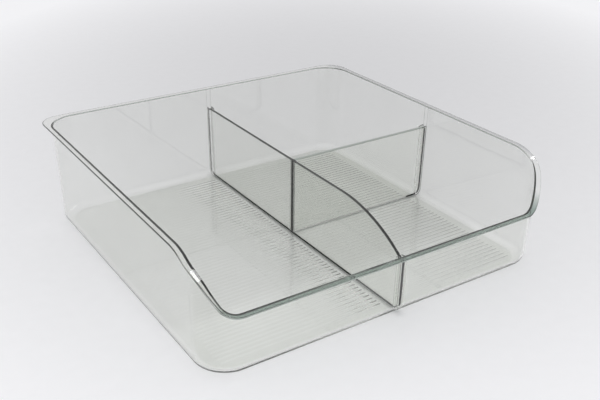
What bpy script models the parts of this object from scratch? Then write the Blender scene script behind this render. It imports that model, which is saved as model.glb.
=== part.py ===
"""Drawer organizer: a clear moulded tray and two divider plates that lift out of it.

X runs to the right along the low front, Y to the back and Z up. The origin lies under the middle of
the tray, on the surface that it stands on. All sizes are in metres.
"""
import math

import bmesh
import bpy

# Tray, over the flange of its rim
TRAY_WIDTH = 0.3136
TRAY_DEPTH = 0.3038
TRAY_HEIGHT = 0.0895
FRONT_HEIGHT = 0.049

# Walls, floor, upright corners and rounded foot
WALL_THICKNESS = 0.0015
FLOOR_THICKNESS = 0.002
WALL_LEAN_SHARE = 0.02  # outward run of a wall, as a share of its rise
CORNER_RADIUS = 0.025
FOOT_RADIUS = 0.008
FOOT_CORNER_SHARE = 0.5  # radius that an upright corner loses, as a share of the foot's inset

# Flange that stiffens the rim: it stands out from the wall's outer face
FLANGE_REACH = 0.0038
FLANGE_THICKNESS = 0.0015
FLANGE_ROUNDING = 0.0005
FLANGE_BACK_RADIUS = 0.016  # at the flange's outer edge, sharper than the wall's own corner

# Sweep of the rim, from the side walls round the front corners down to the low front
SWEEP_CROWN_RADIUS = 0.038
SWEEP_STRAIGHT = 0.016
SWEEP_FOOT_RADIUS = 0.0155

# Divider plates
PLATE_THICKNESS = 0.0024
PLATE_HEIGHT = 0.070  # top edge above the ground
PLATE_EDGE_ROUNDING = 0.0003
PLATE_TOP_CORNER = 0.0012
LONG_PLATE_X = 0.0063
LONG_PLATE_FRONT_HEIGHT = 0.044
LONG_PLATE_CURVE_RUN = 0.0755
CROSS_PLATE_Y = -0.0007

# Fits
SLIDE_CLEARANCE = 0.0003  # each side of a plate in its guide
END_CLEARANCE = 0.0004  # between a plate's end and what it faces
SEAT_CLEARANCE = 0.0003  # under a plate

# Guide ribs moulded on the walls, in pairs
GUIDE_THICKNESS = 0.0012
GUIDE_REACH = 0.005
GUIDE_LEAD_IN = 0.001  # height over which a guide falls back, just above the plates' top edge
GUIDE_RIDGE_REACH = 0.0005  # low ridge from there up to the rim
GUIDE_DROP = 0.001  # from the rim down to a guide's top

# Channel on the long plate's face that takes the cross plate's end
CHANNEL_THICKNESS = 0.0015
CHANNEL_REACH = 0.0015
CHANNEL_SETBACK = 0.0005

# Fine ribs moulded on the floor, in rows along X
FLOOR_RIB_PITCH = 0.00453
FLOOR_RIB_WIDTH = 0.0014
FLOOR_RIB_CREST = 0.0006
FLOOR_RIB_HEIGHT = 0.0004
FLOOR_MARGIN = 0.015  # smooth border along the walls
LANE_HALF_WIDTH = 0.006  # smooth strip that a plate stands on

# How deep a moulded detail is sunk into what carries it
SINK = 0.0008

# Segments of the round stretches
FRONT_CORNER_STEPS = 16
BACK_CORNER_STEPS = 12
SWEEP_SIDE_STEPS = 9
FOOT_STEPS = 6
FLANGE_STEPS = 3
PLATE_CORNER_STEPS = 8
PLATE_CURVE_STEPS = 24
SHARP_ANGLE = math.radians(35)

# The front wall is lower, so its rim leans out less than the back wall's
FRONT_SETBACK = WALL_LEAN_SHARE * (TRAY_HEIGHT - FRONT_HEIGHT)
PLAN_CENTRE_Y = -FRONT_SETBACK / 2


def quarter(steps):
    """Angles of a quarter turn."""
    return [math.pi / 2 * step / steps for step in range(steps + 1)]


def wall_half_width(height):
    """Half of the tray's width over the outer faces of its walls, at a height."""
    return TRAY_WIDTH / 2 - FLANGE_REACH - WALL_LEAN_SHARE * (TRAY_HEIGHT - height)


def wall_half_depth(height):
    """Half of the tray's depth over the outer faces of its walls, at a height."""
    top = (TRAY_DEPTH + FRONT_SETBACK) / 2 - FLANGE_REACH
    return top - WALL_LEAN_SHARE * (TRAY_HEIGHT - height)


def inner_right(height):
    """X of the right wall's inner face."""
    return wall_half_width(height) - WALL_THICKNESS


def inner_back(height):
    """Y of the back wall's inner face."""
    return PLAN_CENTRE_Y + wall_half_depth(height) - WALL_THICKNESS


def inner_front(height):
    """Y of the front wall's inner face."""
    return PLAN_CENTRE_Y - wall_half_depth(height) + WALL_THICKNESS


def sweep_shape():
    """Slope of the sweep's straight, and the level runs of its foot arc, straight and crown arc.

    The two arcs and the straight between them touch each other and make up the drop to the front.
    """
    radii = SWEEP_FOOT_RADIUS + SWEEP_CROWN_RADIUS
    lean = math.atan2(radii, SWEEP_STRAIGHT)
    drop = TRAY_HEIGHT - FRONT_HEIGHT
    slope = lean + math.asin((drop - radii) / math.hypot(radii, SWEEP_STRAIGHT))
    foot_run = SWEEP_FOOT_RADIUS * math.sin(slope)
    crown_run = SWEEP_CROWN_RADIUS * math.sin(slope)
    return slope, foot_run, SWEEP_STRAIGHT * math.cos(slope), crown_run


def rim_line(run):
    """Height and slope of the rim, at a distance along the wall from the front corner's start."""
    slope, foot_run, straight_run, crown_run = sweep_shape()
    to_go = foot_run + straight_run + crown_run - run
    if run <= 0:
        return FRONT_HEIGHT, 0
    if run < foot_run:
        turn = math.asin(run / SWEEP_FOOT_RADIUS)
        return FRONT_HEIGHT + SWEEP_FOOT_RADIUS * (1 - math.cos(turn)), turn
    if to_go > crown_run:
        foot_rise = SWEEP_FOOT_RADIUS * (1 - math.cos(slope))
        return FRONT_HEIGHT + foot_rise + (run - foot_run) * math.tan(slope), slope
    if to_go > 0:
        turn = math.asin(to_go / SWEEP_CROWN_RADIUS)
        return TRAY_HEIGHT - SWEEP_CROWN_RADIUS * (1 - math.cos(turn)), turn
    return TRAY_HEIGHT, 0


def front_corner_run():
    """Length of a front corner along the wall's inner face."""
    return (CORNER_RADIUS - WALL_THICKNESS) * math.pi / 2


def ring_point(zone, amount, half_width, half_depth, radius):
    """A point of a rounded rectangle's right half; amount is an angle or a length in its zone."""
    centre_x = half_width - radius
    centre_y = half_depth - radius
    if zone == "front":
        x, y = 0, -half_depth
    elif zone == "front corner":
        x, y = centre_x + radius * math.sin(amount), -centre_y - radius * math.cos(amount)
    elif zone == "side":
        x, y = half_width, amount - centre_y
    elif zone == "back corner":
        x, y = centre_x + radius * math.cos(amount), centre_y + radius * math.sin(amount)
    else:
        x, y = 0, half_depth
    return x, PLAN_CENTRE_Y + y


def shell_point(zone, amount, outward, height, radius):
    """A point of the shell, outward from the wall's outer face."""
    half_width = wall_half_width(height) + outward
    half_depth = wall_half_depth(height) + outward
    x, y = ring_point(zone, amount, half_width, half_depth, radius)
    return x, y, height


def rim_point(zone, amount, run, outward, below):
    """A point of the rim's section, below the rim line and square to it."""
    top, slope = rim_line(run)
    radius = CORNER_RADIUS + outward
    if zone == "back corner" and outward > 0:
        radius = CORNER_RADIUS - (CORNER_RADIUS - FLANGE_BACK_RADIUS) * outward / FLANGE_REACH
    if slope > 0:
        place = run + below * math.sin(slope)
        corner = front_corner_run()
        zone = "front corner" if place < corner else "side"
        amount = place / corner * math.pi / 2 if place < corner else place - corner
    return shell_point(zone, amount, outward, top - below * math.cos(slope), radius)


def inner_foot(zone, amount):
    """The rounded foot's inner face, from the floor up to the wall."""
    points = []
    for turn in reversed(quarter(FOOT_STEPS)):
        inset = FOOT_RADIUS - (FOOT_RADIUS - WALL_THICKNESS) * math.cos(turn)
        height = FOOT_RADIUS - (FOOT_RADIUS - FLOOR_THICKNESS) * math.sin(turn)
        radius = CORNER_RADIUS - WALL_THICKNESS - FOOT_CORNER_SHARE * (inset - WALL_THICKNESS)
        points.append(shell_point(zone, amount, -inset, height, radius))
    return points


def outer_foot(zone, amount):
    """The rounded foot's outer face, from the wall down to the underside."""
    points = []
    for turn in quarter(FOOT_STEPS):
        inset = FOOT_RADIUS * (1 - math.cos(turn))
        height = FOOT_RADIUS * (1 - math.sin(turn))
        radius = CORNER_RADIUS - FOOT_CORNER_SHARE * inset
        points.append(shell_point(zone, amount, -inset, height, radius))
    return points


def rim_section():
    """The rim's section as (outward, below), from the inner face over the top to the outer face."""
    section = []
    for turn in quarter(FLANGE_STEPS):
        outward = -WALL_THICKNESS + FLANGE_ROUNDING * (1 - math.cos(turn))
        section.append((outward, FLANGE_ROUNDING * (1 - math.sin(turn))))
    for turn in reversed(quarter(FLANGE_STEPS)):
        outward = FLANGE_REACH - FLANGE_ROUNDING * (1 - math.cos(turn))
        section.append((outward, FLANGE_ROUNDING * (1 - math.sin(turn))))
    section.append((FLANGE_REACH, FLANGE_THICKNESS - FLANGE_ROUNDING))
    section.append((FLANGE_REACH - FLANGE_ROUNDING, FLANGE_THICKNESS))
    section.append((0, FLANGE_THICKNESS))
    return section


def half_stations():
    """Places round the wall's right half, from the front's middle to the back's: zone, amount, run."""
    corner = front_corner_run()
    sweep_run = max(sum(sweep_shape()[1:]), corner)
    stations = [("front", 0, 0)]
    for turn in quarter(FRONT_CORNER_STEPS):
        stations.append(("front corner", turn, turn / (math.pi / 2) * corner))
    for step in range(1, SWEEP_SIDE_STEPS + 1):
        along = (sweep_run - corner) * step / SWEEP_SIDE_STEPS
        stations.append(("side", along, corner + along))
    for turn in quarter(BACK_CORNER_STEPS):
        stations.append(("back corner", turn, sweep_run))
    stations.append(("back", 0, sweep_run))
    return stations


def add_shell(mesh):
    """The tray's shell: one section led round the wall, closed by the floor and the underside."""
    right = []
    for zone, amount, run in half_stations():
        section = inner_foot(zone, amount)
        for outward, below in rim_section():
            section.append(rim_point(zone, amount, run, outward, below))
        section += outer_foot(zone, amount)
        right.append(section)
    left = [[(-x, y, z) for x, y, z in section] for section in reversed(right[1:-1])]
    columns = [[mesh.verts.new(point) for point in section] for section in right + left]
    for column, following in zip(columns, columns[1:] + columns[:1]):
        for low in range(len(column) - 1):
            mesh.faces.new((column[low], following[low], following[low + 1], column[low + 1]))
    mesh.faces.new([column[0] for column in columns])
    mesh.faces.new([column[-1] for column in columns])


def add_prism(mesh, outline, lift):
    """A closed prism: an outline, its copy moved by lift, and the sides between them."""
    near = [mesh.verts.new(point) for point in outline]
    far = [mesh.verts.new([value + step for value, step in zip(point, lift)]) for point in outline]
    mesh.faces.new(near)
    mesh.faces.new(list(reversed(far)))
    for index in range(len(near)):
        following = (index + 1) % len(near)
        mesh.faces.new((near[index], far[index], far[following], near[following]))


def slot_sides(middle, rib_thickness):
    """Where the two ribs of a slot start, each side of the plate that slides in it."""
    half_slot = PLATE_THICKNESS / 2 + SLIDE_CLEARANCE
    return middle - half_slot - rib_thickness, middle + half_slot


def guide_outline(top, inner_face, inward):
    """A guide's side view as (across, height): it leans with its wall and stands on the round foot.

    Just above the plate it falls back to a low ridge that runs on up to the rim.
    """
    shoulder = min(PLATE_HEIGHT, top - GUIDE_LEAD_IN)
    ridge = shoulder + GUIDE_LEAD_IN
    outline = [(inner_face(shoulder) + inward * GUIDE_REACH, shoulder)]
    if ridge < top:
        outline.append((inner_face(ridge) + inward * GUIDE_RIDGE_REACH, ridge))
    outline.append((inner_face(top) + inward * GUIDE_RIDGE_REACH, top))
    outline.append((inner_face(top) - inward * SINK, top))
    foot_width = FOOT_RADIUS - WALL_THICKNESS
    foot_depth = FOOT_RADIUS - FLOOR_THICKNESS + SINK
    for turn in quarter(FOOT_STEPS):
        across = (GUIDE_REACH + SINK) * (1 - math.cos(turn)) - SINK
        short_share = max(foot_width - across, 0) / (foot_width + SINK)
        height = FOOT_RADIUS - foot_depth * math.sqrt(1 - short_share ** 2)
        outline.append((inner_face(height) + inward * across, height))
    return outline


def add_guides(mesh):
    """Guide ribs: pairs on the back and front walls for the long plate, on the right for the cross plate."""
    for x in slot_sides(LONG_PLATE_X, GUIDE_THICKNESS):
        back = guide_outline(TRAY_HEIGHT - GUIDE_DROP, inner_back, -1)
        front = guide_outline(FRONT_HEIGHT - GUIDE_DROP, inner_front, 1)
        add_prism(mesh, [(x, y, z) for y, z in back], (GUIDE_THICKNESS, 0, 0))
        add_prism(mesh, [(x, y, z) for y, z in front], (GUIDE_THICKNESS, 0, 0))
    for y in slot_sides(CROSS_PLATE_Y, GUIDE_THICKNESS):
        right = guide_outline(TRAY_HEIGHT - GUIDE_DROP, inner_right, -1)
        add_prism(mesh, [(x, y, z) for x, z in right], (0, GUIDE_THICKNESS, 0))


def add_floor_rib(mesh, start_x, end_x, middle_y):
    """One fine rib: a low bar with sloping sides."""
    foot = FLOOR_THICKNESS - SINK
    half_section = [
        (FLOOR_RIB_WIDTH / 2, foot),
        (FLOOR_RIB_WIDTH / 2, FLOOR_THICKNESS),
        (FLOOR_RIB_CREST / 2, FLOOR_THICKNESS + FLOOR_RIB_HEIGHT),
    ]
    outline = [(start_x, middle_y + across, height) for across, height in half_section]
    outline += [(start_x, middle_y - across, height) for across, height in reversed(half_section)]
    add_prism(mesh, outline, (end_x - start_x, 0, 0))


def add_floor_ribs(mesh):
    """Rows of fine ribs in three panels, which leave smooth lanes where the plates stand."""
    side = inner_right(FLOOR_THICKNESS) - FLOOR_MARGIN
    front = inner_front(FLOOR_THICKNESS) + FLOOR_MARGIN + FLOOR_RIB_WIDTH / 2
    back = inner_back(FLOOR_THICKNESS) - FLOOR_MARGIN - FLOOR_RIB_WIDTH / 2
    for row in range(int((back - front) / FLOOR_RIB_PITCH) + 1):
        middle_y = front + row * FLOOR_RIB_PITCH
        add_floor_rib(mesh, -side, LONG_PLATE_X - LANE_HALF_WIDTH, middle_y)
        if abs(middle_y - CROSS_PLATE_Y) > LANE_HALF_WIDTH:
            add_floor_rib(mesh, LONG_PLATE_X + LANE_HALF_WIDTH, side, middle_y)


def arc(centre, radius, start, end, steps):
    """Points of an arc in a plane, from one angle to another."""
    points = []
    for step in range(steps + 1):
        turn = start + (end - start) * step / steps
        points.append((centre[0] + radius * math.cos(turn), centre[1] + radius * math.sin(turn)))
    return points


def plate_foot(inner_face, inward):
    """A plate's lower corner, rounded to clear the tray's round foot, from its end to its bottom."""
    radius = FOOT_RADIUS - WALL_THICKNESS + END_CLEARANCE
    height = FLOOR_THICKNESS + SEAT_CLEARANCE + radius
    centre = (inner_face(height) + inward * (END_CLEARANCE + radius), height)
    start = math.pi if inward > 0 else 0
    return arc(centre, radius, start, start + inward * math.pi / 2, PLATE_CORNER_STEPS)


def plate_head(end, inward):
    """A plate's small upper corner, from its top to its end."""
    centre = (end + inward * PLATE_TOP_CORNER, PLATE_HEIGHT - PLATE_TOP_CORNER)
    return arc(centre, PLATE_TOP_CORNER, math.pi / 2, math.pi / 2 + inward * math.pi / 2, PLATE_CORNER_STEPS)


def long_plate_outline():
    """The long plate's side view as (y, z): a level top and one large arc down to its low front."""
    back_end = inner_back(PLATE_HEIGHT) - END_CLEARANCE
    front_end = inner_front(LONG_PLATE_FRONT_HEIGHT) + END_CLEARANCE
    drop = PLATE_HEIGHT - LONG_PLATE_FRONT_HEIGHT
    radius = (LONG_PLATE_CURVE_RUN ** 2 + drop ** 2) / (2 * drop)
    turn = math.asin(LONG_PLATE_CURVE_RUN / radius)
    centre = (front_end + LONG_PLATE_CURVE_RUN, PLATE_HEIGHT - radius)
    outline = list(reversed(plate_foot(inner_front, 1)))
    outline += arc(centre, radius, math.pi / 2 + turn, math.pi / 2, PLATE_CURVE_STEPS)
    outline += plate_head(back_end, -1)
    outline += plate_foot(inner_back, -1)
    return outline


def cross_plate_outline():
    """The cross plate's front view as (x, z): square where it meets the long plate."""
    left_end = LONG_PLATE_X + PLATE_THICKNESS / 2 + END_CLEARANCE
    right_end = inner_right(PLATE_HEIGHT) - END_CLEARANCE
    outline = [(left_end, FLOOR_THICKNESS + SEAT_CLEARANCE)]
    outline += reversed(plate_head(left_end, 1))
    outline += plate_head(right_end, -1)
    outline += plate_foot(inner_right, -1)
    return outline


def new_object(name, mesh, origin=(0, 0, 0)):
    """An object from a mesh that was drawn in place, with its own origin."""
    bmesh.ops.recalc_face_normals(mesh, faces=mesh.faces[:])
    bmesh.ops.translate(mesh, verts=mesh.verts[:], vec=[-value for value in origin])
    data = bpy.data.meshes.new(name)
    mesh.to_mesh(data)
    mesh.free()
    data.shade_smooth()
    data.set_sharp_from_angle(angle=SHARP_ANGLE)
    item = bpy.data.objects.new(name, data)
    item.location = origin
    bpy.context.scene.collection.objects.link(item)
    return item


def join_moulding(item, mesh):
    """Joins moulded details, drawn in place as closed bodies, to the object that carries them."""
    details = new_object(item.name + "_details", mesh)
    details.hide_render = True
    details.display_type = "WIRE"
    union = item.modifiers.new("moulded details", "BOOLEAN")
    union.operation = "UNION"
    union.solver = "EXACT"
    union.object = details


def round_edges(item):
    """Rounds the edges of a plate."""
    bevel = item.modifiers.new("edge rounding", "BEVEL")
    bevel.width = PLATE_EDGE_ROUNDING
    bevel.segments = 2
    bevel.limit_method = "ANGLE"
    bevel.angle_limit = SHARP_ANGLE


def clear_plastic(name, colour):
    """Clear styrene with a faint green cast."""
    material = bpy.data.materials.new(name)
    material.use_nodes = True
    shader = material.node_tree.nodes["Principled BSDF"]
    shader.inputs["Base Color"].default_value = (*colour, 1)
    shader.inputs["Roughness"].default_value = 0.05
    shader.inputs["Metallic"].default_value = 0
    shader.inputs["Transmission Weight"].default_value = 0.95
    shader.inputs["IOR"].default_value = 1.58
    return material


def build_tray():
    """The tray: shell, guide ribs and floor ribs in one moulding."""
    shell = bmesh.new()
    add_shell(shell)
    tray = new_object("tray", shell)
    tray.data.materials.append(clear_plastic("tray plastic", (0.93, 0.96, 0.94)))
    details = bmesh.new()
    add_guides(details)
    add_floor_ribs(details)
    join_moulding(tray, details)
    return tray


def build_long_divider():
    """The long divider: a plate from front to back, with a channel on its right face."""
    face = LONG_PLATE_X + PLATE_THICKNESS / 2
    foot = FLOOR_THICKNESS + SEAT_CLEARANCE
    plate = bmesh.new()
    outline = [(LONG_PLATE_X - PLATE_THICKNESS / 2, y, z) for y, z in long_plate_outline()]
    add_prism(plate, outline, (PLATE_THICKNESS, 0, 0))
    divider = new_object("long_divider", plate, (LONG_PLATE_X, CROSS_PLATE_Y, foot))
    divider.data.materials.append(clear_plastic("long divider plastic", (0.90, 0.94, 0.92)))
    round_edges(divider)
    channel = bmesh.new()
    low = foot + CHANNEL_SETBACK
    high = PLATE_HEIGHT - CHANNEL_SETBACK
    near = face - SINK
    far = face + CHANNEL_REACH
    for y in slot_sides(CROSS_PLATE_Y, CHANNEL_THICKNESS):
        rib = [(near, y, low), (far, y, low), (far, y, high), (near, y, high)]
        add_prism(channel, rib, (0, CHANNEL_THICKNESS, 0))
    join_moulding(divider, channel)
    return divider


def build_cross_divider():
    """The cross divider: a plate from the long divider's channel to the right wall's guides."""
    plate = bmesh.new()
    outline = [(x, CROSS_PLATE_Y - PLATE_THICKNESS / 2, z) for x, z in cross_plate_outline()]
    add_prism(plate, outline, (0, PLATE_THICKNESS, 0))
    middle_x = (LONG_PLATE_X + inner_right(FLOOR_THICKNESS)) / 2
    foot = FLOOR_THICKNESS + SEAT_CLEARANCE
    divider = new_object("cross_divider", plate, (middle_x, CROSS_PLATE_Y, foot))
    divider.data.materials.append(clear_plastic("cross divider plastic", (0.91, 0.95, 0.93)))
    round_edges(divider)
    return divider


for old in list(bpy.data.objects):
    bpy.data.objects.remove(old, do_unlink=True)

tray_object = build_tray()
for plate_object in (build_long_divider(), build_cross_divider()):
    plate_object.parent = tray_object
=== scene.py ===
"""Looks of the clear drawer organizer: a moulded tray and two divider plates that lift out of it.

X runs to the right along the low front, Y to the back and Z up. All sizes are in metres.
"""
import math

import bmesh
import bpy
import numpy as np
from mathutils import Matrix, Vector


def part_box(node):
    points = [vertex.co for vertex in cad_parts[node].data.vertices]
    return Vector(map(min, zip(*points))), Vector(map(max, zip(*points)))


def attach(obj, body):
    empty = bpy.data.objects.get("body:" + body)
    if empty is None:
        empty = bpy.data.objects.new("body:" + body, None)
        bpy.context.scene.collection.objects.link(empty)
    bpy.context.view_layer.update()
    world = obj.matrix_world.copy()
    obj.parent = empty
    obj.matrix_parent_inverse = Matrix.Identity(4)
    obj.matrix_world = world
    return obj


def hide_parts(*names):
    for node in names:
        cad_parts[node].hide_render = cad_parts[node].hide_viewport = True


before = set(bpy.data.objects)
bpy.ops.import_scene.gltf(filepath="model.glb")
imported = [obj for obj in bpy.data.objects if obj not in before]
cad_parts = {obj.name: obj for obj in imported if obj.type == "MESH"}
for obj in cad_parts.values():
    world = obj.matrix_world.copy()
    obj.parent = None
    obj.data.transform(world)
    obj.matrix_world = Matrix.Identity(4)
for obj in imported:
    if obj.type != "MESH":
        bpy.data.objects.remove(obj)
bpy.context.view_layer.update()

# Camera. It looks down over the tray's front left corner, at the photograph's angle.
CAMERA_PLACE = (-0.34323, -0.53447, 0.34796)
CAMERA_HEADING = 0.5902
CAMERA_DIP = 0.4591
CAMERA_ROLL = 0.0124
FOCAL_PIXELS = 834.78
IMAGE_PIXELS = 600
SENSOR_WIDTH = 36.0
NEAREST = 0.01


def camera_matrix(place, heading, dip, roll):
    """Matrix of a camera that turns from +Y to +X by its heading, dips below level and then rolls."""
    forward = np.array([math.sin(heading), math.cos(heading), 0]) * math.cos(dip)
    forward[2] = -math.sin(dip)
    level_right = np.array([math.cos(heading), -math.sin(heading), 0])
    level_up = np.cross(level_right, forward)
    matrix = np.eye(4)
    matrix[:3, 0] = math.cos(roll) * level_right + math.sin(roll) * level_up
    matrix[:3, 1] = math.cos(roll) * level_up - math.sin(roll) * level_right
    matrix[:3, 2] = -forward
    matrix[:3, 3] = place
    return Matrix(matrix.tolist())


lens = bpy.data.cameras.new("camera")
lens.sensor_width = SENSOR_WIDTH
lens.lens = SENSOR_WIDTH * FOCAL_PIXELS / IMAGE_PIXELS
lens.clip_start = NEAREST
camera = bpy.data.objects.new("camera", lens)
camera.matrix_world = camera_matrix(CAMERA_PLACE, CAMERA_HEADING, CAMERA_DIP, CAMERA_ROLL)
bpy.context.scene.collection.objects.link(camera)
bpy.context.scene.camera = camera

# Table top. A pale, faintly lavender sheet with a fine grain, with painted light and shade that make it
# brighter away from the tray's back. It isn't part of the organizer.
TABLE_HALF = 3.0
TABLE_LEVEL = -0.0004
TABLE_COLOUR = (0.80, 0.80, 0.82)
# painted light and shade: the colour's factor is lowest round a middle behind the tray and grows outward
TABLE_PAINTED_SHADE_MIDDLE = (0.276, 0.341, 0)
TABLE_PAINTED_LIGHT_FALL_OFF = (0.903, 1.189, 1)
TABLE_PAINTED_SHADE_FACTOR = 0.848
TABLE_PAINTED_LIGHT_FACTOR = 1.22
TABLE_PAINTED_LIGHT_REACH = 0.38
TABLE_GRAIN_SCALE = 90.0
TABLE_GRAIN_DETAIL = 4.0
TABLE_GRAIN = 0.02
TABLE_ROUGHNESS = 0.55


def link_mesh(name, points, faces):
    """An object with its place in its mesh: points is an array of X, Y, Z rows, faces are index lists."""
    mesh = bpy.data.meshes.new(name)
    mesh.from_pydata(points.tolist(), [], faces)
    mesh.update()
    item = bpy.data.objects.new(name, mesh)
    bpy.context.scene.collection.objects.link(item)
    return item


def new_material(name):
    """A material with its nodes and its Principled shader."""
    material = bpy.data.materials.new(name)
    material.use_nodes = True
    return material, material.node_tree, material.node_tree.nodes["Principled BSDF"]


def add_node(tree, kind, inputs, **settings):
    """A new node. Each input is set to a value, or linked where a socket is given for it."""
    node = tree.nodes.new("ShaderNode" + kind)
    for name, value in settings.items():
        setattr(node, name, value)
    for name, value in inputs.items():
        if isinstance(value, bpy.types.NodeSocket):
            tree.links.new(value, node.inputs[name])
        else:
            node.inputs[name].default_value = value
    return node


table_corners = TABLE_HALF * np.array([[-1, -1, 0], [1, -1, 0], [1, 1, 0], [-1, 1, 0]])
table = link_mesh("table_top", table_corners + [0, 0, TABLE_LEVEL], [[0, 1, 2, 3]])
table_paint, table_nodes, table_shader = new_material("table top")
place = add_node(table_nodes, "TexCoord", {}).outputs["Object"]
# painted light and shade: brighter with the square of the scaled distance from the darkest
# middle, which lies behind the tray
turned = add_node(table_nodes, "Mapping", {
    "Vector": place, "Location": TABLE_PAINTED_SHADE_MIDDLE, "Rotation": (0, 0, -CAMERA_HEADING),
    "Scale": TABLE_PAINTED_LIGHT_FALL_OFF}, vector_type="TEXTURE")
far = add_node(table_nodes, "VectorMath", {0: turned.outputs["Vector"], 1: turned.outputs["Vector"]},
               operation="DOT_PRODUCT")
grain = add_node(table_nodes, "TexNoise", {
    "Vector": place, "Scale": TABLE_GRAIN_SCALE, "Detail": TABLE_GRAIN_DETAIL})
speckle = add_node(table_nodes, "MapRange", {
    "Value": grain.outputs["Fac"], "To Min": -TABLE_GRAIN, "To Max": TABLE_GRAIN})
light = add_node(table_nodes, "Math", {0: far.outputs["Value"], 1: speckle.outputs["Result"]},
                 operation="ADD")
shade = add_node(table_nodes, "MapRange", {
    "Value": light.outputs["Value"], "From Max": TABLE_PAINTED_LIGHT_REACH,
    "To Min": TABLE_PAINTED_SHADE_FACTOR, "To Max": TABLE_PAINTED_LIGHT_FACTOR})
table_colour = add_node(table_nodes, "VectorMath", {0: TABLE_COLOUR}, operation="SCALE")
table_nodes.links.new(shade.outputs["Result"], table_colour.inputs["Scale"])
table_nodes.links.new(table_colour.outputs["Vector"], table_shader.inputs["Base Color"])
table_shader.inputs["Roughness"].default_value = TABLE_ROUGHNESS
table.data.materials.append(table_paint)

# Light. A bright, even room, as in a product photograph, with a tall window at the right that shows
# only as glints, above all on the rim where it sweeps down.
LIGHT_BOUNCES = 96
ROOM_LOW = -0.1
ROOM_HIGH = 0.8
ROOM_DIM = 0.45
ROOM_BRIGHT = 1.05
WINDOW_DISTANCE = 4.0
WINDOW_WIDTH = 0.75
WINDOW_HEIGHT = 1.8
WINDOW_HEADING = math.radians(100)
WINDOW_RISE = math.radians(38)
WINDOW_RADIANCE = 6.5

room = bpy.data.worlds.new("room")
room.use_nodes = True
room_nodes = room.node_tree
sky = room_nodes.nodes["Background"]
direction = add_node(room_nodes, "TexCoord", {})
upward = add_node(room_nodes, "SeparateXYZ", {"Vector": direction.outputs["Generated"]})
brightness = add_node(room_nodes, "MapRange", {
    "Value": upward.outputs["Z"], "From Min": ROOM_LOW, "From Max": ROOM_HIGH,
    "To Min": ROOM_DIM, "To Max": ROOM_BRIGHT})
room_nodes.links.new(brightness.outputs["Result"], sky.inputs["Strength"])
sky.inputs["Color"].default_value = (1, 1, 1, 1)
bpy.context.scene.world = room
bpy.context.scene.view_settings.view_transform = "Standard"
bpy.context.scene.cycles.max_bounces = LIGHT_BOUNCES
bpy.context.scene.cycles.transmission_bounces = LIGHT_BOUNCES
bpy.context.scene.cycles.glossy_bounces = LIGHT_BOUNCES
bpy.context.scene.cycles.use_denoising = True
bpy.context.scene.cycles.blur_glossy = 0


def window_matrix(heading, rise, distance):
    """Matrix of a light that faces the origin; its heading turns from +Y to +X, its rise from level."""
    level = np.array([math.cos(heading), -math.sin(heading), 0])
    away = np.array([math.sin(heading) * math.cos(rise), math.cos(heading) * math.cos(rise), math.sin(rise)])
    matrix = np.eye(4)
    matrix[:3, 0] = level
    matrix[:3, 1] = np.cross(away, level)
    matrix[:3, 2] = away
    matrix[:3, 3] = distance * away
    return Matrix(matrix.tolist())


window_light = bpy.data.lights.new("window", "AREA")
window_light.shape = "RECTANGLE"
window_light.size = WINDOW_WIDTH
window_light.size_y = WINDOW_HEIGHT
window_light.energy = WINDOW_RADIANCE * math.pi * WINDOW_WIDTH * WINDOW_HEIGHT
window = bpy.data.objects.new("window", window_light)
window.matrix_world = window_matrix(WINDOW_HEADING, WINDOW_RISE, WINDOW_DISTANCE)
bpy.context.scene.collection.objects.link(window)
window.visible_diffuse = False
window.visible_transmission = False

# Tray. One clear moulding: leaning walls, a floor on a rounded foot, and a flanged rim that sweeps
# down from the side walls round the front corners to the low front.
WALL = 0.0015
FLOOR = 0.002
LEAN_SHARE = 0.02
CORNER_RADIUS = 0.025
FOOT_RADIUS = 0.008
FOOT_CORNER_SHARE = 0.5
FRONT_HEIGHT = 0.049
FLANGE_REACH = 0.0038
FLANGE_THICKNESS = 0.0015
FLANGE_BACK_RADIUS = 0.016
RIM_ROUNDING = 0.0005
UNDER_FILLET = 0.0003
SWEEP_CROWN_RADIUS = 0.038
SWEEP_STRAIGHT = 0.016
SWEEP_FOOT_RADIUS = 0.0155
ARC_STEPS = 8
FRONT_STEPS = 6
SWEEP_STEPS = 90
SIDE_STEPS = 8
BACK_CORNER_STEPS = 32
SUPPORT = 0.0006
GUIDE_THICKNESS = 0.0012
GUIDE_REACH = 0.005
GUIDE_NOSE = 0.00015
GUIDE_NOSE_STEPS = 2
GUIDE_FOOT_STEPS = 9
GUIDE_DEEPEST_SHARE = 0.95
GUIDE_LEAD_IN = 0.001
RIDGE_REACH = 0.0002
SINK = 0.0008
PLATE_THICKNESS = 0.0024
PLATE_TOP = 0.070
SLIDE_CLEARANCE = 0.0003
SHARP_ANGLE = math.radians(32)
RIB_PITCH = 0.00453
RIB_WIDTH = 0.0018
CAD_RIB_WIDTH = 0.0014
RIB_MARGIN = 0.015
RIB_LANE = 0.006
RIB_STEPS = 6
RIB_STATIONS = 9
RIB_FAINT = 0.000015
# place and spread of the painted shade on each rib's front flank
RIB_FLANK_SHARE = -0.4
RIB_FLANK_SPREAD_SHARE = 0.35
LEFT_RIB_FRONT_CRISP = 0.000528
LEFT_RIB_BACK_CRISP = 0.000352
LEFT_RIB_GROWTH = 5
LEFT_RIB_PAINTED_SHADE = 0.45
RIGHT_RIB_CRISP = 0.00017
RIGHT_RIB_GROWTH = 1
RIGHT_RIB_PAINTED_SHADE = 0.85
TRAY_DENSITY = 60
TRAY_COLOUR = (0.95, 0.955, 0.94)
# painted shade: the floor's tint is darker than the walls'
FLOOR_PAINTED_SHADE_COLOUR = (0.87, 0.88, 0.855)
# painted light: the floor's tint grows lighter towards the front
FLOOR_FRONT_PLACE = -0.068
FLOOR_FRONT_FADE = 0.016
FLOOR_FRONT_PAINTED_LIGHT = 1.05
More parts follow.
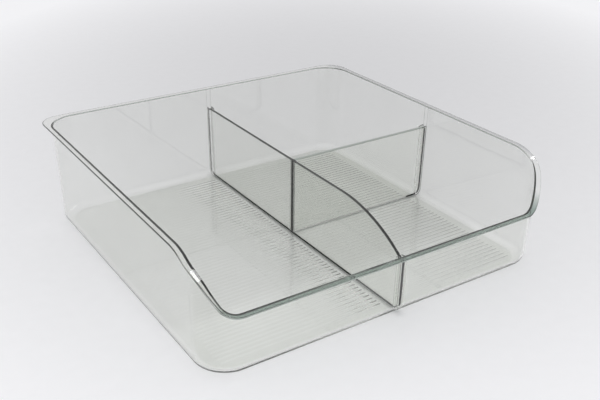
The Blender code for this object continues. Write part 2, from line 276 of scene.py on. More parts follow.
# painted light: the front wall's lighter tint
FRONT_PAINTED_LIGHT_COLOUR = (0.995, 1.0, 0.985)
FRONT_PLACE = 0.140
FRONT_FADE = 0.010
# painted shade on the rim: its inner rounding and outer edge, a grey green band at the low front, the right
# flange's flats, fainter where the rim sweeps down
RIM_INNER_PAINTED_SHADE = (0.60, 0.63, 0.61)
RIM_EDGE_PAINTED_SHADE = (0.34, 0.37, 0.35)
RIM_BAND_PAINTED_SHADE = (0.33, 0.41, 0.37)
BAND_TOP = 0.063
BAND_FADE = 0.012
RIGHT_BAND_DROP = 0.008
LEFT_EDGE_PAINTED_SHADE = (0.02, 0.025, 0.022)
LEFT_PLACE = 0.125
LEFT_FADE = 0.020
LEFT_END = 0.140
LEFT_END_FADE = 0.012
RIGHT_TOP_PAINTED_SHADE = (0.72, 0.72, 0.73)
RIGHT_UNDER_PAINTED_SHADE = (0.40, 0.41, 0.41)
RIGHT_PLACE = 0.146
RIGHT_FADE = 0.004
SWEEP_EDGE_PAINTED_SHADE = (0.80, 0.82, 0.80)
SWEEP_LOW = 0.053
SWEEP_HIGH = 0.088
SWEEP_FADE = 0.006

tray_low, tray_high = (np.array(corner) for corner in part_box("tray"))
tray_height = tray_high[2]
plate_middle = {"long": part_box("long_divider")[0][0] + PLATE_THICKNESS / 2,
                "cross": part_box("cross_divider")[1][1] - PLATE_THICKNESS / 2}
front_setback = LEAN_SHARE * (tray_height - FRONT_HEIGHT)
plan_centre_y = -front_setback / 2
top_half_width = tray_high[0] - FLANGE_REACH
top_half_depth = tray_high[1] - plan_centre_y - FLANGE_REACH
corner_length = (CORNER_RADIUS - WALL) * math.pi / 2
side_length = 2 * (top_half_depth - CORNER_RADIUS)
front_length = top_half_width - CORNER_RADIUS
whole_length = 2 * corner_length + side_length + front_length


def quarter_turn(steps=ARC_STEPS):
    """Angles of a quarter turn."""
    return np.linspace(0, math.pi / 2, steps + 1)


def wall_place(run, inset, height, radius):
    """Points on the right half of the wall, at lengths from the front corner's start.

    The plan is a rounded rectangle that grows with height. A point is the corner circle's centre, or
    a place between two such centres on a straight, plus the radius along the wall's outward direction.
    """
    front_turn = np.clip(run / corner_length, 0, 1) * math.pi / 2
    back_turn = np.clip((run - corner_length - side_length) / corner_length, 0, 1) * math.pi / 2
    turn = front_turn + back_turn
    after = run - 2 * corner_length - side_length
    across = 1 + np.clip(run / front_length, -1, 0) - np.clip(after / front_length, 0, 1)
    along = 2 * np.clip((run - corner_length) / side_length, 0, 1) - 1
    lean = LEAN_SHARE * (tray_height - height)
    x = (top_half_width - lean - inset - radius) * across + radius * np.sin(turn)
    y = (top_half_depth - lean - inset - radius) * along - radius * np.cos(turn)
    return np.stack(np.broadcast_arrays(x, plan_centre_y + y, height), axis=-1)


def sweep_line(run):
    """Height and slope of the rim: level, a foot arc, a straight, a crown arc, and level again."""
    radii = SWEEP_FOOT_RADIUS + SWEEP_CROWN_RADIUS
    steepest = math.atan2(radii, SWEEP_STRAIGHT)
    steepest += math.asin((tray_height - FRONT_HEIGHT - radii) / math.hypot(radii, SWEEP_STRAIGHT))
    foot_run = SWEEP_FOOT_RADIUS * math.sin(steepest)
    crown_run = SWEEP_CROWN_RADIUS * math.sin(steepest)
    end = foot_run + SWEEP_STRAIGHT * math.cos(steepest) + crown_run
    foot_turn = np.arcsin(np.clip(run / SWEEP_FOOT_RADIUS, 0, math.sin(steepest)))
    crown_turn = np.arcsin(np.clip((end - run) / SWEEP_CROWN_RADIUS, 0, math.sin(steepest)))
    on_straight = np.clip(run - foot_run, 0, end - crown_run - foot_run) * math.tan(steepest)
    rise = SWEEP_FOOT_RADIUS * (1 - np.cos(foot_turn)) + on_straight
    rise = rise + SWEEP_CROWN_RADIUS * (np.cos(crown_turn) - math.cos(steepest))
    return FRONT_HEIGHT + rise, np.minimum(foot_turn, crown_turn), end


def rim_section():
    """The rim's section as rows of (outward, below): inner face, rounded top, flange, wall again."""
    turn = quarter_turn()
    round_out, round_down = RIM_ROUNDING * (1 - np.cos(turn)), RIM_ROUNDING * (1 - np.sin(turn))
    inner = np.stack([-WALL + round_out, round_down], axis=1)
    outer = np.stack([FLANGE_REACH - round_out, round_down], axis=1)[::-1]
    lower = np.stack([FLANGE_REACH - round_out, FLANGE_THICKNESS - round_down], axis=1)
    fillet_out, fillet_down = UNDER_FILLET * (1 - np.sin(turn)), UNDER_FILLET * (1 - np.cos(turn))
    fillet = np.stack([fillet_out, FLANGE_THICKNESS + fillet_down], axis=1)
    supports = [[-WALL, 2 * RIM_ROUNDING + SUPPORT], [-WALL, RIM_ROUNDING + SUPPORT]]
    last = [[0, FLANGE_THICKNESS + UNDER_FILLET + SUPPORT]]
    return np.concatenate([supports, inner, outer, lower, fillet, last])


def wall_rows(runs):
    """The tray's section at each run, from the floor over the rim to the underside: rows x runs x 3."""
    rows = []
    turns = quarter_turn()[::-1]
    inner_inset = FOOT_RADIUS - (FOOT_RADIUS - WALL) * np.cos(turns)
    inner_height = FOOT_RADIUS - (FOOT_RADIUS - FLOOR) * np.sin(turns)
    inner_radius = CORNER_RADIUS - WALL - FOOT_CORNER_SHARE * (inner_inset - WALL)
    first_radius = inner_radius[0] - FOOT_CORNER_SHARE * SUPPORT
    rows.append(wall_place(runs, FOOT_RADIUS + SUPPORT, FLOOR, first_radius))
    for inset, height, radius in zip(inner_inset, inner_height, inner_radius):
        rows.append(wall_place(runs, inset, height, radius))
    rows.append(wall_place(runs, WALL, FOOT_RADIUS + SUPPORT, CORNER_RADIUS - WALL))
    for outward, below in rim_section():
        top, slope, _ = sweep_line(runs)
        shifted = np.where(slope > 0, runs + below * np.sin(slope), runs)
        sharper = (CORNER_RADIUS - FLANGE_BACK_RADIUS) * max(outward, 0) / FLANGE_REACH
        back_radius = CORNER_RADIUS - sharper if outward > 0 else CORNER_RADIUS + outward
        radius = np.where(runs > corner_length + side_length / 2, back_radius, CORNER_RADIUS + outward)
        rows.append(wall_place(shifted, -outward, top - below * np.cos(slope), radius))
    rows.append(wall_place(runs, 0, FOOT_RADIUS + SUPPORT, CORNER_RADIUS))
    for turn in quarter_turn():
        inset = FOOT_RADIUS * (1 - math.cos(turn))
        height = FOOT_RADIUS * (1 - math.sin(turn))
        rows.append(wall_place(runs, inset, height, CORNER_RADIUS - FOOT_CORNER_SHARE * inset))
    last_radius = CORNER_RADIUS - FOOT_CORNER_SHARE * (FOOT_RADIUS + SUPPORT)
    rows.append(wall_place(runs, FOOT_RADIUS + SUPPORT, 0, last_radius))
    return np.array(rows)


def wall_runs():
    """Places round the right half, close together where the wall or its rim curves."""
    sweep_end = sweep_line(np.zeros(1))[2]
    back_start = corner_length + side_length
    return np.unique(np.concatenate([
        np.linspace(-front_length, -SUPPORT, FRONT_STEPS),
        np.linspace(0, sweep_end, SWEEP_STEPS),
        [corner_length, sweep_end + SUPPORT],
        np.linspace(sweep_end + SUPPORT, back_start - SUPPORT, SIDE_STEPS),
        np.linspace(back_start, back_start + corner_length, BACK_CORNER_STEPS),
        np.linspace(back_start + corner_length + SUPPORT, whole_length, FRONT_STEPS),
    ]))


def ring_faces(rows, columns):
    """Quads between the rows and columns of a ring that closes on itself, and a cap on each end row."""
    row, column = np.meshgrid(np.arange(rows - 1), np.arange(columns), indexing="ij")
    following = (column + 1) % columns
    quads = np.stack([
        row * columns + column, (row + 1) * columns + column,
        (row + 1) * columns + following, row * columns + following], axis=-1)
    faces = quads.reshape(-1, 4).tolist()
    faces.append(list(range(columns)))
    faces.append(list(range((rows - 1) * columns, rows * columns))[::-1])
    return faces


def tray_shell():
    """The shell: the right half's rows, then the left half's, mirrored and run backwards."""
    right = wall_rows(wall_runs())
    left = right[:, -2:0:-1] * [-1, 1, 1]
    grid = np.concatenate([right, left], axis=1)
    return grid.reshape(-1, 3), ring_faces(grid.shape[0], grid.shape[1])


def guide_prism(side, start, top):
    """One guide rib: a U-shaped section with a rounded nose, led up the wall's inner face.

    Side is back, front or right. The root follows the wall's lean and the round foot, sunk into the
    plastic. Above the plate the nose falls back to a low ridge that runs on up to the rim.
    """
    plate_top = min(PLATE_TOP, top - GUIDE_LEAD_IN)
    heights = np.array([FLOOR - SINK / 2, plate_top, plate_top + GUIDE_LEAD_IN, top])
    on_foot = np.linspace(FLOOR + SINK / 4, FOOT_RADIUS, GUIDE_FOOT_STEPS)
    heights = np.unique(np.concatenate([heights, on_foot]))
    reach = np.interp(heights, [plate_top, plate_top + GUIDE_LEAD_IN], [GUIDE_REACH, RIDGE_REACH])
    depth = np.clip((FOOT_RADIUS - heights) / (FOOT_RADIUS - FLOOR), 0, GUIDE_DEEPEST_SHARE)
    foot_inset = FOOT_RADIUS - (FOOT_RADIUS - WALL) * np.sqrt(1 - depth ** 2)
    face = np.where(heights < FOOT_RADIUS, foot_inset, WALL)
    lean = LEAN_SHARE * (tray_height - heights)
    nose = quarter_turn(GUIDE_NOSE_STEPS)
    across = np.concatenate([[0], GUIDE_NOSE * (1 - np.cos(nose))])
    across = np.concatenate([across, GUIDE_THICKNESS - across[::-1]])
    forward = np.concatenate([[-1], np.sin(nose), np.sin(nose[::-1]), [-1]])
    tip = WALL + reach[:, None] - GUIDE_NOSE
    inset = np.where(forward < 0, (face - SINK)[:, None], tip + GUIDE_NOSE * forward)
    across = np.broadcast_to(start + across, inset.shape)
    height = np.broadcast_to(heights[:, None], inset.shape)
    if side == "right":
        grid = np.stack([top_half_width - lean[:, None] - inset, across, height], axis=-1)
    else:
        outward = 1 if side == "back" else -1
        y = plan_centre_y + outward * (top_half_depth - lean[:, None] - inset)
        grid = np.stack([across, y, height], axis=-1)
    return grid.reshape(-1, 3), ring_faces(grid.shape[0], grid.shape[1]), TRAY_COLOUR


def set_tint_and_shade(item, colours):
    """Keeps a colour for each point, on the corners of the faces, for the plastic to read."""
    mesh = item.data
    corners = np.zeros(len(mesh.loops), dtype=np.int32)
    mesh.loops.foreach_get("vertex_index", corners)
    opaque = np.ones((len(corners), 1))
    shown = np.concatenate([np.broadcast_to(colours, (len(mesh.vertices), 3))[corners], opaque], axis=1)
    mesh.attributes.new("tint", "FLOAT_COLOR", "CORNER").data.foreach_set("color", shown.ravel())


def joined(item, prisms):
    """The object with closed prisms united into its mesh, smooth but for its true edges.

    A prism is its points, its faces and its tint.
    """
    starts = np.cumsum([0] + [len(points) for points, _, _ in prisms])
    faces = [[index + start for index in face]
             for start, (_, prism_faces, _) in zip(starts, prisms) for face in prism_faces]
    details = link_mesh("moulded details", np.concatenate([points for points, _, _ in prisms]), faces)
    set_tint_and_shade(details, np.concatenate([np.broadcast_to(tint, points.shape) for points, _, tint in prisms]))
    bm = bmesh.new()
    bm.from_mesh(details.data)
    bmesh.ops.recalc_face_normals(bm, faces=bm.faces[:])
    bm.to_mesh(details.data)
    bm.free()
    union = item.modifiers.new("union", "BOOLEAN")
    union.operation = "UNION"
    union.solver = "EXACT"
    union.object = details
    graph = bpy.context.evaluated_depsgraph_get()
    mesh = bpy.data.meshes.new_from_object(item.evaluated_get(graph))
    item.modifiers.remove(union)
    bpy.data.objects.remove(details, do_unlink=True)
    item.data = mesh
    smooth(item)


def smooth(item):
    """Smooth shading but for true edges; a vertex leans to its larger faces, so that flats stay flat."""
    item.data.shade_smooth()
    item.data.set_sharp_from_angle(angle=SHARP_ANGLE)
    weights = item.modifiers.new("weights", "WEIGHTED_NORMAL")
    weights.keep_sharp = True
    mesh = bpy.data.meshes.new_from_object(item.evaluated_get(bpy.context.evaluated_depsgraph_get()))
    item.modifiers.remove(weights)
    item.data = mesh


def slot_starts(middle):
    """Where the two ribs of a slot start, each side of the plate."""
    half_slot = PLATE_THICKNESS / 2 + SLIDE_CLEARANCE
    return middle - half_slot - GUIDE_THICKNESS, middle + half_slot


def floor_rib(start_x, end_x, middle_y, crispest, growth, darkest):
    """One fine floor rib: a low cosine wave across Y, led along X, that grows crisper on its way.

    Its height grows with a power of the way, and so does a painted shade on the wave's front flank.
    """
    across = np.linspace(-1, 1, RIB_STEPS + 1)
    x = np.linspace(start_x, end_x, RIB_STATIONS)[:, None]
    along = (x - start_x) / (end_x - start_x)
    height = RIB_FAINT + (crispest - RIB_FAINT) * along ** growth
    crest = FLOOR + height * (1 + np.cos(math.pi * across)) / 2
    y = middle_y + RIB_WIDTH / 2 * across[[0, *range(RIB_STEPS + 1), -1]]
    foot = np.full_like(x, FLOOR - SINK / 2)
    z = np.concatenate([foot, crest, foot], axis=1)
    grid = np.stack(np.broadcast_arrays(x, y, z), axis=-1)
    # painted shade: a darker tint on the wave's front flank
    flank = np.exp(-((across - RIB_FLANK_SHARE) / RIB_FLANK_SPREAD_SHARE) ** 2)
    shade = 1 - darkest * along ** growth * flank[[0, *range(RIB_STEPS + 1), -1]]
    tints = shade[..., None] * TRAY_COLOUR
    return grid.reshape(-1, 3), ring_faces(len(x), len(y)), tints.reshape(-1, 3)


def floor_ribs():
    """Rows of fine ribs in three panels, which leave smooth lanes under the plates.

    In the left bay they show near the long divider, in the right bays more and more towards the wall.
    """
    lean = LEAN_SHARE * (tray_height - FLOOR)
    side = top_half_width - lean - WALL - RIB_MARGIN
    reach = top_half_depth - lean - WALL - RIB_MARGIN - CAD_RIB_WIDTH / 2
    rows = plan_centre_y - reach + RIB_PITCH * np.arange(int(2 * reach / RIB_PITCH) + 1)
    crisp = np.interp(rows, [-reach, 0], [LEFT_RIB_FRONT_CRISP, LEFT_RIB_BACK_CRISP])
    left_end = plate_middle["long"] - RIB_LANE
    right_start = plate_middle["long"] + RIB_LANE
    right_rows = rows[abs(rows - plate_middle["cross"]) > RIB_LANE]
    left_ribs = [floor_rib(-side, left_end, y, top, LEFT_RIB_GROWTH, LEFT_RIB_PAINTED_SHADE)
                 for y, top in zip(rows, crisp)]
    right_ribs = [floor_rib(right_start, side, y, RIGHT_RIB_CRISP, RIGHT_RIB_GROWTH, RIGHT_RIB_PAINTED_SHADE)
                  for y in right_rows]
    return left_ribs + right_ribs


CLOUD_SCALE = 30.0
CLOUD_DETAIL = 2.0
CLOUD_SHADE = 0.97
SCUFF_SCALE = 700.0
SCUFF_DETAIL = 3.0
SCUFF_GLOSSIEST = 0.6
SCUFF_DULLEST = 1.6
FLOW_SCALE = 22.0
FLOW_DETAIL = 1.0
FLOW_STRENGTH = 0.25
FLOW_DEPTH = 0.0004
CLEAR_ROUGHNESS = 0.01
EDGE_ROUGHNESS = 0.5
STYRENE_IOR = 1.58
STYRENE_DEPTH_COLOUR = (0.876, 0.882, 0.875)


def moulded_surface():
    """Shader group of the clear plastic's skin.

    Slow clouds tint the colour by a trace, fine scuffs vary the gloss, and slow flow waves bend the skin.
    """
    group = bpy.data.node_groups.new("moulded surface", "ShaderNodeTree")
    group.interface.new_socket("Colour", in_out="INPUT", socket_type="NodeSocketColor")
    group.interface.new_socket("Roughness", in_out="INPUT", socket_type="NodeSocketFloat")
    group.interface.new_socket("Colour", in_out="OUTPUT", socket_type="NodeSocketColor")
    group.interface.new_socket("Roughness", in_out="OUTPUT", socket_type="NodeSocketFloat")
    group.interface.new_socket("Normal", in_out="OUTPUT", socket_type="NodeSocketVector")
    given = group.nodes.new("NodeGroupInput")
    place = add_node(group, "TexCoord", {}).outputs["Object"]
    clouds = add_node(group, "TexNoise", {
        "Vector": place, "Scale": CLOUD_SCALE, "Detail": CLOUD_DETAIL})
    tint = add_node(group, "MapRange", {
        "Value": clouds.outputs["Fac"], "To Min": CLOUD_SHADE, "To Max": 1.0})
    colour = add_node(group, "VectorMath", {0: given.outputs["Colour"]}, operation="SCALE")
    group.links.new(tint.outputs["Result"], colour.inputs["Scale"])
    scuffs = add_node(group, "TexNoise", {
        "Vector": place, "Scale": SCUFF_SCALE, "Detail": SCUFF_DETAIL})
    gloss = add_node(group, "MapRange", {
        "Value": scuffs.outputs["Fac"], "To Min": SCUFF_GLOSSIEST, "To Max": SCUFF_DULLEST})
    rough = add_node(group, "Math", {0: given.outputs["Roughness"], 1: gloss.outputs["Result"]},
                     operation="MULTIPLY")
    flow = add_node(group, "TexNoise", {
        "Vector": place, "Scale": FLOW_SCALE, "Detail": FLOW_DETAIL})
    skin = add_node(group, "Bump", {
        "Height": flow.outputs["Fac"], "Strength": FLOW_STRENGTH, "Distance": FLOW_DEPTH})
    out = group.nodes.new("NodeGroupOutput")
    group.links.new(colour.outputs["Vector"], out.inputs["Colour"])
    group.links.new(rough.outputs["Value"], out.inputs["Roughness"])
    group.links.new(skin.outputs["Normal"], out.inputs["Normal"])
    return group


plastic_skin = moulded_surface()


def clear_plastic(name, density, edge_painted_shade=None):
    """Clear styrene: a faint tint at its skin, and an absorption that shows where light runs far in it.

    The tint is the mesh's own, with painted light and shade in it. A plate's dark edge is painted
    shade: a dull colour that lets no light through.
    """
    material, nodes, shader = new_material(name)
    skin = nodes.nodes.new("ShaderNodeGroup")
    skin.node_tree = plastic_skin
    # a plate's edge: painted shade in a dull opaque colour
    if edge_painted_shade:
        skin.inputs["Colour"].default_value = (*edge_painted_shade, 1)
        shader.inputs["Specular IOR Level"].default_value = 0.0
    else:
        tint = add_node(nodes, "Attribute", {}, attribute_name="tint")
        nodes.links.new(tint.outputs["Color"], skin.inputs["Colour"])
        shader.inputs["Transmission Weight"].default_value = 1.0
    skin.inputs["Roughness"].default_value = EDGE_ROUGHNESS if edge_painted_shade else CLEAR_ROUGHNESS
    nodes.links.new(skin.outputs["Colour"], shader.inputs["Base Color"])
    nodes.links.new(skin.outputs["Roughness"], shader.inputs["Roughness"])
    nodes.links.new(skin.outputs["Normal"], shader.inputs["Normal"])
    shader.inputs["IOR"].default_value = STYRENE_IOR
    absorb = add_node(nodes, "VolumeAbsorption", {
        "Color": (*STYRENE_DEPTH_COLOUR, 1), "Density": density})
    nodes.links.new(absorb.outputs["Volume"], nodes.nodes["Material Output"].inputs["Volume"])
    return material


def grown(values, start, fade):
    """A share that is 0 up to a start and grows to 1 over a length."""
    return np.clip((values - start) / fade, 0, 1)


def tray_tints_and_shade(points, columns):
    """The plastic's tint, with painted light and shade, at each point of the shell, for each row of its
    section.

    Painted shade darkens the rim's inner rounding and outer edge, the outer edge most along the left
    wall and hardly where the rim sweeps down. On the right the flange has painted shade over and under
    its flats. The low front has a band of grey green painted shade at the rim, which fades out up the
    sweep. The floor has painted shade, a darker tint, and the front wall painted light, the lightest tint.
    """
    rows = points.reshape(-1, columns, 3)
    inner_end = 2 * ARC_STEPS + 5
    outer_start = inner_end + 1
    lower_start = outer_start + ARC_STEPS + 1
    fillet_start = lower_start + ARC_STEPS + 1
    inner = slice(inner_end - ARC_STEPS, inner_end)
    flat = slice(inner_end, outer_start + 1)
    edge = slice(outer_start + 1, lower_start + ARC_STEPS // 2)
    under = slice(fillet_start - 3, fillet_start)
    rim = slice(inner_end, fillet_start + ARC_STEPS - 1)

    height = rows[..., 2:]
    left = grown(-rows[..., :1], LEFT_PLACE, LEFT_FADE) * grown(-rows[..., 1:2], -LEFT_END, LEFT_END_FADE)
    right = grown(rows[..., :1], RIGHT_PLACE, RIGHT_FADE)
    front = grown(-rows[..., 1:2], FRONT_PLACE, FRONT_FADE)
    sweep = grown(height, SWEEP_LOW, SWEEP_FADE) * grown(-height, -SWEEP_HIGH, SWEEP_FADE)
    band = grown(-height, RIGHT_BAND_DROP * right - BAND_TOP, BAND_FADE)

    tints = np.broadcast_to(TRAY_COLOUR, rows.shape).copy()
    # painted shade: the floor rows take the darker floor tint
    tints[[0, -1]] = FLOOR_PAINTED_SHADE_COLOUR
    # painted shade: the outer edge is dark, darkest on the left and fainter on the sweep
    tints[edge] = RIM_EDGE_PAINTED_SHADE + left[edge] * (np.array(LEFT_EDGE_PAINTED_SHADE) - RIM_EDGE_PAINTED_SHADE)
    tints[edge] += sweep[edge] * (SWEEP_EDGE_PAINTED_SHADE - tints[edge])
    # painted shade over and under the right flange's flats
    tints[flat] += right[flat] * (1 - sweep[flat]) * (RIGHT_TOP_PAINTED_SHADE - tints[flat])
    tints[under] += right[under] * (1 - sweep[under]) * (RIGHT_UNDER_PAINTED_SHADE - tints[under])
    # painted shade on the inner rounding, left out in the band and on the right sweep
    plain = np.maximum(band, right * sweep)[inner]
    tints[inner] += (1 - plain) * (RIM_INNER_PAINTED_SHADE - tints[inner])
    # painted shade: a grey green band on the low front's rim
    tints[rim] += band[rim] * (RIM_BAND_PAINTED_SHADE - tints[rim])
    # painted light: the front wall below the rim takes a lighter tint
    front[inner.start:rim.stop] = 0
    tints += front * (FRONT_PAINTED_LIGHT_COLOUR - tints)
    return tints.reshape(-1, 3)


def paint_front_light(nodes):
    """Painted light: the floor's tint is lighter near the front, where light also comes in through the low
    wall.
    """
    place = add_node(nodes, "SeparateXYZ", {"Vector": add_node(nodes, "TexCoord", {}).outputs["Object"]})
    front = add_node(nodes, "MapRange", {
        "Value": place.outputs["Y"], "From Min": FLOOR_FRONT_PLACE,
        "From Max": FLOOR_FRONT_PLACE - FLOOR_FRONT_FADE, "To Max": FLOOR_FRONT_PAINTED_LIGHT - 1})
    low = add_node(nodes, "MapRange", {
        "Value": place.outputs["Z"], "From Min": 2 * FLOOR, "From Max": 1.5 * FLOOR, "To Max": 1.0})
    more = add_node(nodes, "Math", {0: front.outputs["Result"], 1: low.outputs["Result"], 2: 1.0},
                    operation="MULTIPLY_ADD")
    skin = nodes.nodes["Group"]
    tint = skin.inputs["Colour"].links[0].from_socket
    lighter = add_node(nodes, "VectorMath", {0: tint}, operation="SCALE")
    nodes.links.new(more.outputs["Value"], lighter.inputs["Scale"])
    nodes.links.new(lighter.outputs["Vector"], skin.inputs["Colour"])


tray_points, tray_faces = tray_shell()
tray = link_mesh("clear_tray", tray_points, tray_faces)
set_tint_and_shade(tray, tray_tints_and_shade(tray_points, len(tray_faces[-1])))
tray_plastic = clear_plastic("tray plastic", TRAY_DENSITY)
paint_front_light(tray_plastic.node_tree)
tray.data.materials.append(tray_plastic)
guides = floor_ribs()
for start in slot_starts(plate_middle["long"]):
    guides.append(guide_prism("back", start, tray_height - 2 * RIM_ROUNDING))
    guides.append(guide_prism("front", start, FRONT_HEIGHT - 2 * RIM_ROUNDING))
for start in slot_starts(plate_middle["cross"]):
    guides.append(guide_prism("right", start, tray_height - 2 * RIM_ROUNDING))
joined(tray, guides)
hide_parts("tray")
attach(tray, "tray")

# Long divider. A flat plate with rounded edges that stands in the guides of the back and front walls.
# Its level top sweeps down to the low front; a channel on its right face takes the cross divider.
PLATE_ROUNDING = 0.0003
PLATE_HEAD_RADIUS = 0.0012
PLATE_FRONT_HEIGHT = 0.044
PLATE_CURVE_RUN = 0.0755
PLATE_CURVE_STEPS = 48
PLATE_EDGE_STEPS = 5
END_CLEARANCE = 0.0004
SEAT_CLEARANCE = 0.0003
CHANNEL_WALL = 0.0015
CHANNEL_REACH = 0.0008
CHANNEL_SETBACK = 0.0005
CHANNEL_ROUNDING = 0.0002
LONG_DENSITY = 220
PLATE_COLOUR = (0.985, 0.99, 0.975)
# painted shade: a grey green top edge, and near black opaque ends and bottom
PLATE_TOP_PAINTED_SHADE = (0.45, 0.50, 0.47)
PLATE_EDGE_PAINTED_SHADE = (0.004, 0.006, 0.005)


def wall_face(side, height):
    """Place of a wall's inner face across the tray, at a height; side is back, front or right."""
    inset = LEAN_SHARE * (tray_height - height) + WALL
    if side == "right":
        return top_half_width - inset
    return plan_centre_y + (1 if side == "back" else -1) * (top_half_depth - inset)


def arc(centre, radius, start, end, steps=ARC_STEPS):
    """Points of an arc from one angle to another."""
    turn = np.linspace(start, end, steps + 1)
    return np.stack([centre[0] + radius * np.cos(turn), centre[1] + radius * np.sin(turn)], axis=1)


def plate_foot(side, inward):
    """A plate's rounded lower corner, from its end to its bottom."""
    radius = FOOT_RADIUS - WALL + END_CLEARANCE
    height = FLOOR + SEAT_CLEARANCE + radius
    centre = (wall_face(side, height) + inward * (END_CLEARANCE + radius), height)
    start = math.pi if inward > 0 else 0
    return arc(centre, radius, start, start + inward * math.pi / 2)


def plate_head(end, inward):
    """A plate's small upper corner, from its top to its end."""
    centre = (end + inward * PLATE_HEAD_RADIUS, PLATE_TOP - PLATE_HEAD_RADIUS)
    return arc(centre, PLATE_HEAD_RADIUS, math.pi / 2, math.pi / 2 + inward * math.pi / 2)


def plate_body(outline):
    """A plate about zero: rings of its outline, each moved in from the edge and across the thickness.

    A corner's point moves along the two edges' summed normals, over one plus their dot product. The
    edge is a quarter round, a flat and a quarter round; a last ring on each face keeps the face flat.
    """
    edge = np.roll(outline, -1, axis=0) - outline
    edge = edge / np.linalg.norm(edge, axis=1, keepdims=True)
    inward = np.stack([edge[:, 1], -edge[:, 0]], axis=1)
    before = np.roll(inward, 1, axis=0)
    inward = (inward + before) / (1 + np.sum(inward * before, axis=1, keepdims=True))
    turn = quarter_turn(PLATE_EDGE_STEPS)
    inset = np.concatenate([[PLATE_ROUNDING + SUPPORT], PLATE_ROUNDING * (1 - np.sin(turn))])
    across = np.concatenate([[0], PLATE_ROUNDING * (1 - np.cos(turn))]) - PLATE_THICKNESS / 2
    inset = np.concatenate([inset, inset[::-1]])
    across = np.concatenate([across, -across[::-1]])
    rings = outline + inset[:, None, None] * inward
    return rings, np.broadcast_to(across[:, None], rings.shape[:2])


def finish_plate(item, rings, name, density, colour, edge_painted_shades, parts):
    """The plate's plastics: clear faces, a clear part of the edge tinted with painted shade, and the rest in
    dull colours of painted shade.

    The first edge colour is that tint, and the others are the colours of slots 1 and up. Parts gives the
    outline's columns that a slot takes; the columns that it leaves out take slot 1.
    """
    rows, columns = rings.shape[:2]
    tints = np.broadcast_to(colour, (rows, columns, 3)).copy()
    tints[1:-1, parts[0]] = edge_painted_shades[0]
    set_tint_and_shade(item, tints.reshape(-1, 3))
    slots = np.ones((rows - 1, columns), dtype=np.int32)
    for slot, part in parts.items():
        slots[:, part] = slot
    item.data.polygons.foreach_set("material_index", np.append(slots.ravel(), np.int32([0, 0])))
    item.data.materials.append(clear_plastic(name + " plastic", density))
    for number, edge_painted_shade in enumerate(edge_painted_shades[1:]):
        edge_name = f"{name} edge {number + 1}"
        item.data.materials.append(clear_plastic(edge_name, density, edge_painted_shade))


def channel_bar(start, face):
    """One wall of the channel: a square bar with rounded long edges, sunk into the plate's face."""
    nose = quarter_turn(GUIDE_NOSE_STEPS)
    across = np.concatenate([[0], CHANNEL_ROUNDING * (1 - np.cos(nose))])
    across = start + np.concatenate([across, CHANNEL_WALL - across[::-1]])
    tip = face + CHANNEL_REACH - CHANNEL_ROUNDING
    forward = tip + CHANNEL_ROUNDING * np.concatenate([np.sin(nose), np.sin(nose[::-1])])
    forward = np.concatenate([[face - SINK], forward, [face - SINK]])
    height = np.array([FLOOR + SEAT_CLEARANCE + CHANNEL_SETBACK, PLATE_TOP - CHANNEL_SETBACK])
    grid = np.stack(np.broadcast_arrays(forward, across, height[:, None]), axis=-1)
    return grid.reshape(-1, 3), ring_faces(2, len(across)), PLATE_COLOUR


back_end = wall_face("back", PLATE_TOP) - END_CLEARANCE
front_end = wall_face("front", PLATE_FRONT_HEIGHT) + END_CLEARANCE
plate_drop = PLATE_TOP - PLATE_FRONT_HEIGHT
curve_radius = (PLATE_CURVE_RUN ** 2 + plate_drop ** 2) / (2 * plate_drop)
curve_turn = math.asin(PLATE_CURVE_RUN / curve_radius)
curve_centre = (front_end + PLATE_CURVE_RUN, PLATE_TOP - curve_radius)
long_outline = np.concatenate([
    plate_foot("front", 1)[::-1],
    arc(curve_centre, curve_radius, math.pi / 2 + curve_turn, math.pi / 2, PLATE_CURVE_STEPS),
    plate_head(back_end, -1),
    plate_foot("back", -1)])
rings, across = plate_body(long_outline)
points = np.concatenate([plate_middle["long"] + across[..., None], rings], axis=-1)
long_plate = link_mesh("clear_long_divider", points.reshape(-1, 3), ring_faces(*rings.shape[:2]))
# the top edge, clear with a painted shade, goes from the front foot's end to the middle of the small
# upper corner at the back
foot_points = ARC_STEPS + 1
half_head = ARC_STEPS // 2
top_edge = np.arange(foot_points, len(long_outline) - foot_points - half_head)
finish_plate(long_plate, rings, "long divider", LONG_DENSITY, PLATE_COLOUR,
             [PLATE_TOP_PAINTED_SHADE, PLATE_EDGE_PAINTED_SHADE], {0: top_edge})
long_face = plate_middle["long"] + PLATE_THICKNESS / 2
half_slot = PLATE_THICKNESS / 2 + SLIDE_CLEARANCE
cross_y = plate_middle["cross"]
joined(long_plate, [channel_bar(y, long_face)
                    for y in (cross_y - half_slot - CHANNEL_WALL, cross_y + half_slot)])
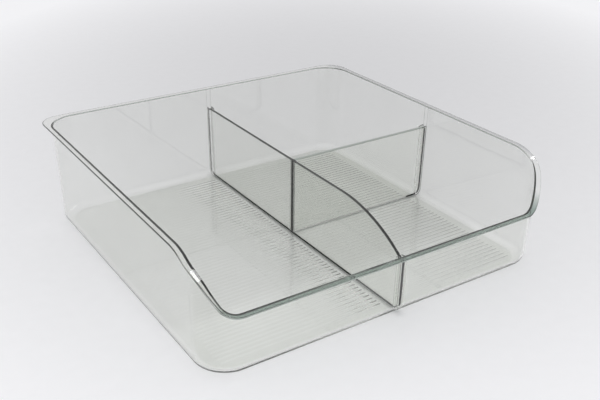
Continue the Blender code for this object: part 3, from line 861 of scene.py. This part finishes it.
# painted shade: the faces inside the channel take the dark opaque colour of the plate's ends
count = len(long_plate.data.polygons)
centres = np.zeros(count * 3)
long_plate.data.polygons.foreach_get("center", centres)
centres = centres.reshape(-1, 3) - [long_face, cross_y, 0]
in_slot = (centres[:, 0] > 0) & (abs(centres[:, 1]) < half_slot + CHANNEL_ROUNDING)
shown = np.zeros(count, dtype=np.int32)
long_plate.data.polygons.foreach_get("material_index", shown)
long_plate.data.polygons.foreach_set("material_index", np.where(in_slot, 1, shown).astype(np.int32))
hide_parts("long_divider")
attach(long_plate, "long_divider")

# Cross divider. A flat plate of the same clear plastic with rounded edges. Its left end stands in the
# long divider's channel and its right end in the guides of the right wall.
CROSS_STUB = 0.008
CROSS_DENSITY = 130
CROSS_COLOUR = (0.965, 0.975, 0.95)
# painted shade: a grey bottom edge and a grey opaque top edge
CROSS_FOOT_PAINTED_SHADE = (0.85, 0.88, 0.86)
CROSS_TOP_PAINTED_SHADE = (0.40, 0.43, 0.41)
left_end = plate_middle["long"] + PLATE_THICKNESS / 2 + END_CLEARANCE
right_end = wall_face("right", PLATE_TOP) - END_CLEARANCE
cross_outline = np.concatenate([
    [[left_end, FLOOR + SEAT_CLEARANCE]],
    plate_head(left_end, 1)[::-1],
    plate_head(right_end, -1),
    plate_foot("right", -1),
    plate_foot("right", -1)[-1:] - [[CROSS_STUB, 0]]])
rings, across = plate_body(cross_outline)
points = np.stack([rings[..., 0], plate_middle["cross"] - across, rings[..., 1]], axis=-1)
cross_plate = link_mesh("clear_cross_divider", points.reshape(-1, 3), ring_faces(*rings.shape[:2]))
# the top edge, opaque with a painted shade, goes from the middle of one small upper corner to the
# middle of the other
top_edge = np.arange(1 + half_head, len(cross_outline) - 1 - foot_points - half_head)
finish_plate(cross_plate, rings, "cross divider", CROSS_DENSITY, CROSS_COLOUR,
             [CROSS_FOOT_PAINTED_SHADE, PLATE_EDGE_PAINTED_SHADE, CROSS_TOP_PAINTED_SHADE], {0: [-1], 2: top_edge})
smooth(cross_plate)
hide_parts("cross_divider")
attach(cross_plate, "cross_divider")
